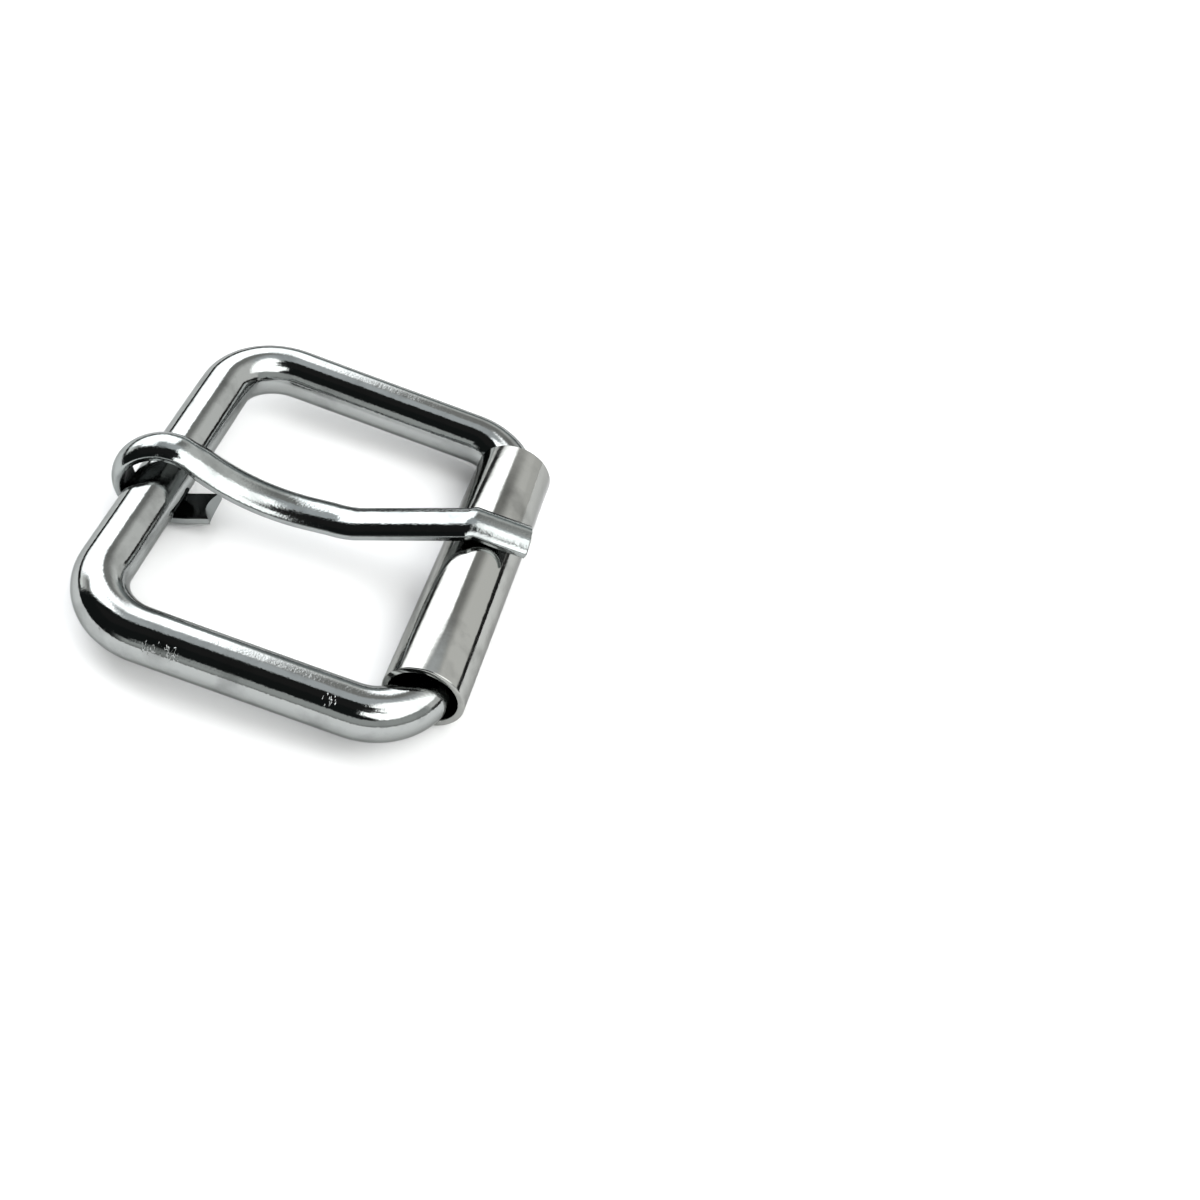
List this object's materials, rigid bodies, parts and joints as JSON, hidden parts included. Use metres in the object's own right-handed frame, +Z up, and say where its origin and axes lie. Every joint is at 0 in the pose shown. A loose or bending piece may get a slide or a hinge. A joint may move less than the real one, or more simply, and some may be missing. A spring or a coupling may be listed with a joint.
{
  "type": "roller buckle",
  "caption": "Wire-frame strap buckle with a rolled sheet roller on one bar and a bent prong hooked round the other, for a flat strap.",
  "frame": {"origin": "centre of the footprint of the buckle's bounding box, on the table that it lies on with its prong closed", "axes": "+X from the hinge bar to the roller, +Y along both bars, +Z up away from the table"},
  "size_m": [0.0298, 0.0326, 0.0074],
  "materials": {
    "frame_steel": "polished dark nickel plating with light scuffs",
    "roller_steel": "polished dark nickel plating, faintly smudged",
    "prong_steel": "polished dark nickel plating, slightly uneven on the dome"
  },
  "bodies": {
    "frame": {"frame": "frame_steel"},
    "roller": {"roller": "roller_steel"},
    "prong": {"prong": "prong_steel"}
  },
  "joints": [
    {"name": "prong_hinge", "type": "hinge", "parent": "frame", "child": "prong", "pos_m": [-0.01149, -0.00085, 0.00382], "axis": [0.1253, -0.9921, 0], "range_deg": [0, 180]},
    {"name": "roller_spin", "type": "hinge", "parent": "frame", "child": "roller", "pos_m": [0.01161, 0, 0.00292], "axis": [0, 1, 0], "continuous": true}
  ]
}
